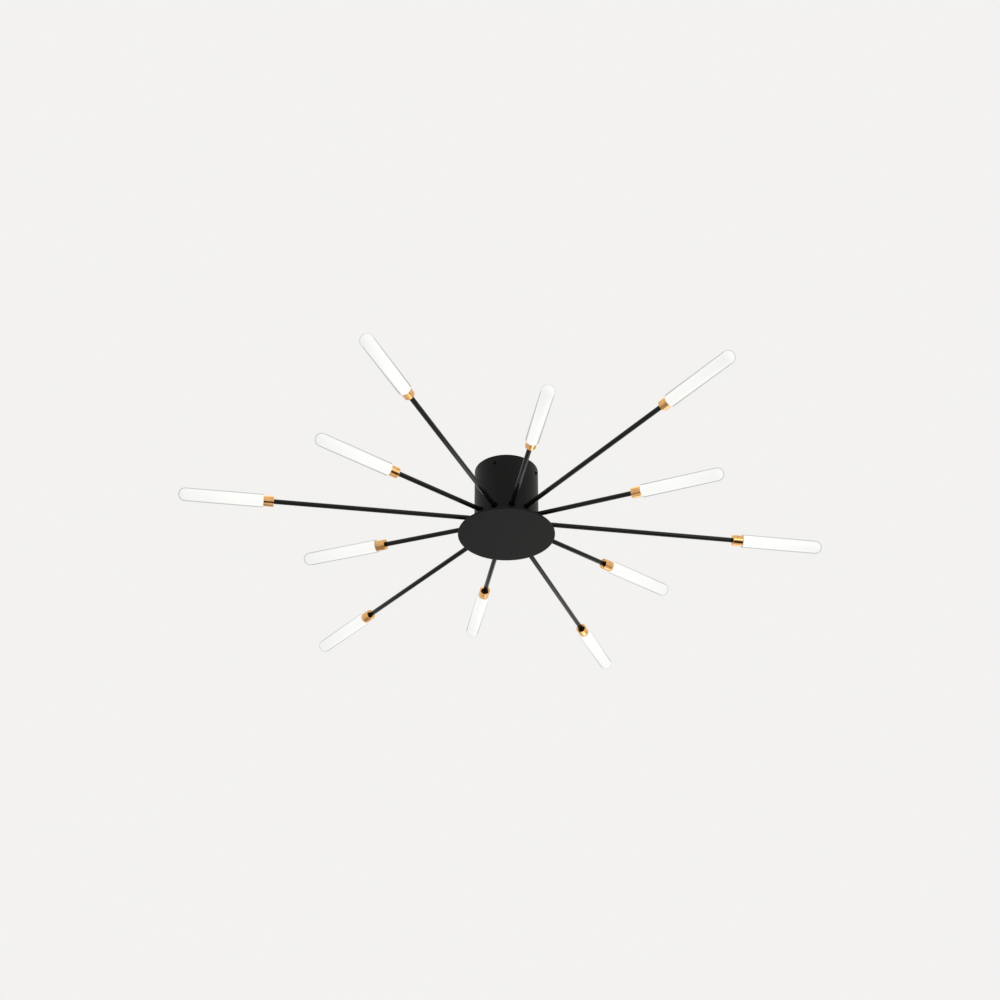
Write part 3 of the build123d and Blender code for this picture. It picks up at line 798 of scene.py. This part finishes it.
def drill(radius, depth, place, axis):
    """A round cutter set across a wall."""
    bpy.ops.mesh.primitive_cylinder_add(
        vertices=48, radius=radius, depth=depth, location=place,
        rotation=axis.to_track_quat("Z", "Y").to_euler())
    return bpy.context.object


class LIGHT_OT_disc(bpy.types.Operator):
    """Model the bottom disc with its two rounded rims"""

    bl_idname = "light.disc"
    bl_label = "Bottom Disc"

    def execute(self, context):
        low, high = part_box("disc_cover")
        radius = (high.x - low.x) / 2
        edge = 0.8 * MM
        bpy.ops.mesh.primitive_cylinder_add(
            vertices=256, radius=radius, depth=high.z - low.z, location=(0, 0, (low.z + high.z) / 2))
        disc = context.object
        disc.name = "bottom_disc"
        settle(disc)
        edit(disc)
        for height in (low.z, high.z):
            round_off(disc, height, radius, edge, 5)
        leave()
        settle(disc)
        hand_over(disc, "fixture", "black_satin", "disc_cover")
        return {"FINISHED"}


class LIGHT_OT_side_screws(bpy.types.Operator):
    """Model the canopy's side screws: button heads with a hexagon socket"""

    bl_idname = "light.side_screws"
    bl_label = "Side Screws"

    def execute(self, context):
        low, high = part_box("canopy_screws")
        cup_low, cup_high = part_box("canopy")
        cup_radius = (cup_high.x - cup_low.x) / 2
        head = (high.z - low.z) / 2
        head_height = 1.7 * MM
        head_round = 1.0 * MM
        shank = 1.45 * MM
        shank_length = 5.2 * MM
        socket = 1.1 * MM                      # radius to the corners of the hexagon
        socket_depth = 1.0 * MM
        bpy.ops.mesh.primitive_cylinder_add(
            vertices=48, radius=head, depth=head_height, location=(0, 0, head_height / 2))
        pattern = context.object
        settle(pattern)
        edit(pattern)
        pick(pattern, "FACE", flat_at(0, -1))
        bpy.ops.mesh.inset(thickness=head - shank)
        draw_out(-shank_length)
        round_off(pattern, head_height, head, head_round, 5)
        leave()
        bpy.ops.mesh.primitive_cylinder_add(
            vertices=6, radius=socket, depth=2 * socket_depth, location=(0, 0, head_height))
        cut(pattern, [context.object])
        for number, azimuth in enumerate(SCREW_AZIMUTHS, 1):
            place = outward(azimuth) * cup_radius + UP * (low.z + high.z) / 2
            screw = copy_to(pattern, f"side_screw_{number}", place, outward(azimuth))
            hand_over(screw, "fixture", "black_screws", "canopy_screws")
        bpy.data.objects.remove(pattern)
        return {"FINISHED"}


def dress(*nodes):
    """Gives CAD nodes the finished material of their own slot."""
    for name in nodes:
        node = frame["nodes"][name]
        for slot in node.material_slots:
            slot.material = material_for(slot.material.name)


class LIGHT_OT_ceiling_fittings(bpy.types.Operator):
    """Finish the bracket, its cable bush, the terminal block and the screws on them"""

    bl_idname = "light.ceiling_fittings"
    bl_label = "Ceiling Fittings"

    def execute(self, context):
        dress("ceiling_bracket", "cable_grommet", "terminal_block", "terminal_screws", "earth_screws")
        return {"FINISHED"}


class LIGHT_OT_hub_fittings(bpy.types.Operator):
    """Finish the hub, its locknuts, and the studs, spacers and nuts that clamp it"""

    bl_idname = "light.hub_fittings"
    bl_label = "Hub Fittings"

    def execute(self, context):
        dress("arm_hub", "arm_locknuts", "disc_studs", "hub_spacers", "stud_nuts")
        return {"FINISHED"}


class LIGHT_OT_driver_fittings(bpy.types.Operator):
    """Finish the driver, its tray, the distribution board and the leads"""

    bl_idname = "light.driver_fittings"
    bl_label = "Driver Fittings"

    def execute(self, context):
        dress("driver_tray", "led_driver", "distribution_board", "board_terminals", "board_standoffs",
              "m3_screws", "inner_leads")
        return {"FINISHED"}


class LIGHT_OT_light_sources(bpy.types.Operator):
    """Finish the light boards, their glowing stripes, holders and leads"""

    bl_idname = "light.light_sources"
    bl_label = "Light Sources"

    def execute(self, context):
        dress("led_boards", "led_stripes", "board_holders", "led_leads")
        return {"FINISHED"}


def lamp(name, place, width, height, power):
    """A soft lamp aimed at the hub, with its width level and its power in watts."""
    data = bpy.data.lights.new(name, "AREA")
    data.shape = "RECTANGLE"
    data.size = width
    data.size_y = height
    data.energy = power
    body = bpy.data.objects.new(name, data)
    bpy.context.scene.collection.objects.link(body)
    body.location = place
    body.rotation_mode = "QUATERNION"
    body.rotation_quaternion = (HUB - Vector(place)).to_track_quat("-Z", "Y")


def ring_card(name, azimuths, tone):
    """Part of a level ring under the light that only reflections show: it shades the brass."""
    inner = 0.9
    outer = 3.2
    drop = 2.3
    deselect()
    bpy.ops.mesh.primitive_circle_add(
        vertices=96, radius=outer, fill_type="NGON", location=(0, 0, -drop))
    card = bpy.context.object
    card.name = name
    edit(card)
    bpy.ops.mesh.select_all(action="SELECT")
    bpy.ops.mesh.inset(thickness=outer - inner)

    def unwanted(face):
        centre = face.calc_center_median()
        turn = (degrees(atan2(centre.y, centre.x)) - azimuths[0]) % 360
        return len(face.verts) > 4 or turn > azimuths[1] - azimuths[0]

    pick(card, "FACE", unwanted)
    bpy.ops.mesh.delete(type="FACE")
    leave()
    material = bpy.data.materials.new(f"{name}_cloth")
    nodes = Nodes(material, "ShaderNodeOutputMaterial")
    nodes.finish(nodes.principled({
        "Base Color": nodes.blend(nodes.noise(0.3), tint(tone, 0.9), tint(tone, 1.1)),
        "Roughness": 0.9, "Specular IOR Level": 0.1}))
    card.data.materials.append(material)
    for ray in ("camera", "diffuse", "transmission", "volume_scatter", "shadow"):
        setattr(card, f"visible_{ray}", False)


def backdrop_world(scene):
    """A pale even world: seen as the backdrop, and as soft light from all round."""
    studio = scene.light_studio
    world = bpy.data.worlds.new("studio")
    scene.world = world
    nodes = Nodes(world, "ShaderNodeOutputWorld")
    seen = nodes.add("ShaderNodeLightPath", result="Is Camera Ray")
    for ray in ("Is Glossy Ray", "Is Transmission Ray"):
        seen = seen.maths("MAXIMUM", seen, nodes.add("ShaderNodeLightPath", result=ray))
    shown = nodes.add("ShaderNodeBackground", {}, {"Color": (*studio.backdrop, 1), "Strength": 1.0})
    light = nodes.add("ShaderNodeBackground", {}, {"Color": (1, 1, 1, 1), "Strength": 0.8})
    nodes.finish(nodes.add("ShaderNodeMixShader", {}, {0: seen, 1: light, 2: shown}))


def studio_floor(studio):
    """A pale round floor that takes shadows and has the backdrop's tone, so that no edge shows."""
    radius = 30
    plain_share = 0.7                          # how much of the backdrop's tone the camera sees
    deselect()
    bpy.ops.mesh.primitive_circle_add(
        vertices=128, radius=radius, fill_type="NGON", location=(0, 0, -studio.floor_drop))
    floor = bpy.context.object
    floor.name = "studio_floor"
    material = bpy.data.materials.new("floor_paint")
    nodes = Nodes(material, "ShaderNodeOutputMaterial")
    patches = nodes.noise(0.6)
    paint = nodes.principled({
        "Base Color": nodes.blend(patches, tint(studio.backdrop, 1.04), tint(studio.backdrop, 1.07)),
        "Roughness": 0.8 + 0.1 * patches,
        "Specular IOR Level": 0.1})
    pale = nodes.add("ShaderNodeEmission", {}, {"Color": (*tint(studio.backdrop, 1.05), 1)})
    seen = plain_share * nodes.add("ShaderNodeLightPath", result="Is Camera Ray")
    nodes.finish(nodes.add("ShaderNodeMixShader", {}, {0: seen, 1: paint, 2: pale}))
    floor.data.materials.append(material)


class LIGHT_OT_studio(bpy.types.Operator):
    """Set the camera, the lamps, the pale floor and the backdrop"""

    bl_idname = "light.studio"
    bl_label = "Studio"

    def execute(self, context):
        scene = context.scene
        studio = scene.light_studio
        scene.view_settings.view_transform = "Standard"

        data = bpy.data.cameras.new("camera")
        data.sensor_width = SENSOR_SIDE
        data.lens = studio.lens
        camera = bpy.data.objects.new("camera", data)
        scene.collection.objects.link(camera)
        scene.camera = camera
        level = cos(studio.elevation)
        away = Vector((sin(studio.azimuth) * level, -cos(studio.azimuth) * level, sin(studio.elevation)))
        focal = studio.lens * PICTURE_SIDE / SENSOR_SIDE
        sight = Vector((studio.aim_right, -studio.aim_down, -focal))
        turn = (-UP).rotation_difference(sight) @ Quaternion(-UP, studio.roll)
        camera.location = HUB + away * studio.distance
        camera.rotation_mode = "QUATERNION"
        camera.rotation_quaternion = (-away).to_track_quat("-Z", "Y") @ turn.inverted()

        backdrop_world(scene)
        lamp("key_lamp", place=(1.70, 2.03, -1.79), width=2.4, height=1.3, power=14)
        lamp("front_lamp", place=(1.45, -2.73, -0.27), width=3.8, height=1.2, power=25)
        lamp("top_lamp", place=(0, 0.4, 2.6), width=2.0, height=2.0, power=10)
        ring_card("dark_card", azimuths=(-115, 5), tone=(0.02, 0.02, 0.02))
        ring_card("grey_card", azimuths=(95, 245), tone=(0.45, 0.45, 0.45))
        studio_floor(studio)
        return {"FINISHED"}


OPERATORS = (
    LIGHT_OT_rods, LIGHT_OT_ferrules, LIGHT_OT_arms, LIGHT_OT_canopy, LIGHT_OT_disc,
    LIGHT_OT_side_screws, LIGHT_OT_ceiling_fittings, LIGHT_OT_hub_fittings, LIGHT_OT_driver_fittings,
    LIGHT_OT_light_sources, LIGHT_OT_studio)


class LIGHT_PT_panel(bpy.types.Panel):
    """Lists the pieces of the light and their sizes and colours"""

    bl_idname = "LIGHT_PT_panel"
    bl_label = "Starburst Light"
    bl_space_type = "VIEW_3D"
    bl_region_type = "UI"
    bl_category = "Starburst"

    def draw(self, context):
        for name, group in GROUPS.items():
            box = self.layout.box()
            for setting in group.__annotations__:
                box.prop(getattr(context.scene, name), setting)
        for operator in OPERATORS:
            self.layout.operator(operator.bl_idname)


CLASSES = (*GROUPS.values(), *OPERATORS, LIGHT_PT_panel)


def register():
    """Registers the classes and adds the settings to the scene."""
    for kind in CLASSES:
        bpy.utils.register_class(kind)
    for name, group in GROUPS.items():
        setattr(bpy.types.Scene, name, PointerProperty(type=group))


def unregister():
    """Takes out what register added."""
    for name in GROUPS:
        delattr(bpy.types.Scene, name)
    for kind in reversed(CLASSES):
        bpy.utils.unregister_class(kind)


def main():
    """Makes every piece and the studio."""
    register()
    for operator in OPERATORS:
        family, action = operator.bl_idname.split(".")
        getattr(getattr(bpy.ops, family), action)()


if __name__ == "__main__":
    main()
